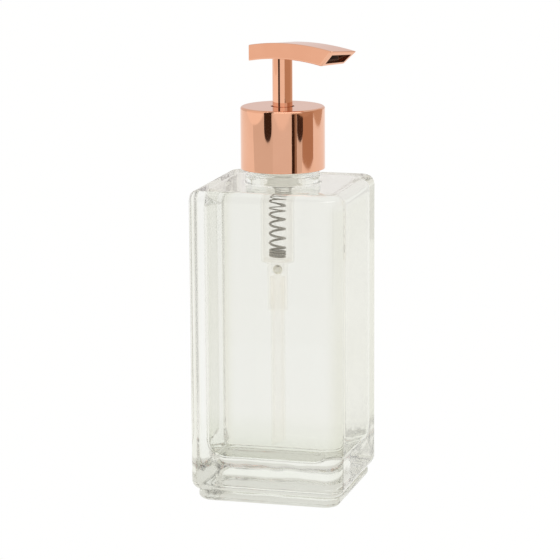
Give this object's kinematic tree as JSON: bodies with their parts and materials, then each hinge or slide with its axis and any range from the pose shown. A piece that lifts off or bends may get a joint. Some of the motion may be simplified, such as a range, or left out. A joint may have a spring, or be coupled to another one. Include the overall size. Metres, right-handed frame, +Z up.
{
  "type": "soap pump dispenser",
  "caption": "Square thick-walled clear glass bottle with a screw-on metal lotion pump: round collar, straight stem and a bowed bar head with a slanted rectangular spout.",
  "frame": {"origin": "centre of the bottle's flat base, on the pump's vertical axis", "axes": "+Z up along the pump's axis; the bottle's sides face along X and Y and its front faces -Y; at rest the spout points 30 degrees from +X towards -Y"},
  "size_m": [0.0649, 0.064, 0.1861],
  "materials": {
    "clear_glass": "clear polished glass with a faint green-grey tint",
    "rose_gold": "mirror-polished rose-gold plated steel",
    "spring_steel": "drawn stainless wire",
    "natural_plastic": "translucent natural polypropylene",
    "white_plastic": "white moulded polypropylene",
    "dark_plastic": "near-black moulded plastic",
    "soft_foam": "closed-cell foam washer"
  },
  "bodies": {
    "bottle": {"bottle": "clear_glass"},
    "pump_unit": {"pump_housing": "natural_plastic", "neck_gasket": "soft_foam", "guide_sleeve": "white_plastic", "dip_tube": "natural_plastic", "ball_cage": "natural_plastic", "return_spring": "spring_steel"},
    "closure": {"collar_shell": "rose_gold", "threaded_cap": "white_plastic", "collar_bush": "dark_plastic"},
    "plunger": {"inner_stem": "white_plastic", "stem_plug": "white_plastic"},
    "piston": {"piston_seal": "white_plastic"},
    "ball": {"inlet_ball": "spring_steel"},
    "head": {"head_shell": "rose_gold", "head_plate": "rose_gold", "head_core": "dark_plastic", "nozzle_duct": "dark_plastic", "stem_sleeve": "rose_gold"}
  },
  "joints": [
    {"name": "pump_lift", "type": "slide", "parent": "bottle", "child": "pump_unit", "axis": [0, 0, 1], "range_m": [0, 0.00634]},
    {"name": "collar_turn", "type": "hinge", "parent": "pump_unit", "child": "closure", "pos_m": [0, 0, 0.145], "axis": [0, 0, 1], "range_deg": [0, 540]},
    {"name": "pump_press", "type": "slide", "parent": "pump_unit", "child": "plunger", "axis": [0, 0, -1], "range_m": [0, 0.016], "stiffness_N_per_m": 600, "springref_m": -0.009, "deforming": ["return_spring"]},
    {"name": "head_swivel", "type": "hinge", "parent": "plunger", "child": "head", "pos_m": [0, 0, 0.18], "axis": [0, 0, 1], "continuous": true},
    {"name": "piston_float", "type": "slide", "parent": "plunger", "child": "piston", "axis": [0, 0, 1], "range_m": [0, 0.0009]},
    {"name": "ball_lift", "type": "slide", "parent": "pump_unit", "child": "ball", "axis": [0, 0, 1], "range_m": [0, 0.0012]}
  ],
  "couplings": [
    {"joint": "collar_turn", "follows": "pump_lift", "rad_per_m": 1485.4}
  ]
}
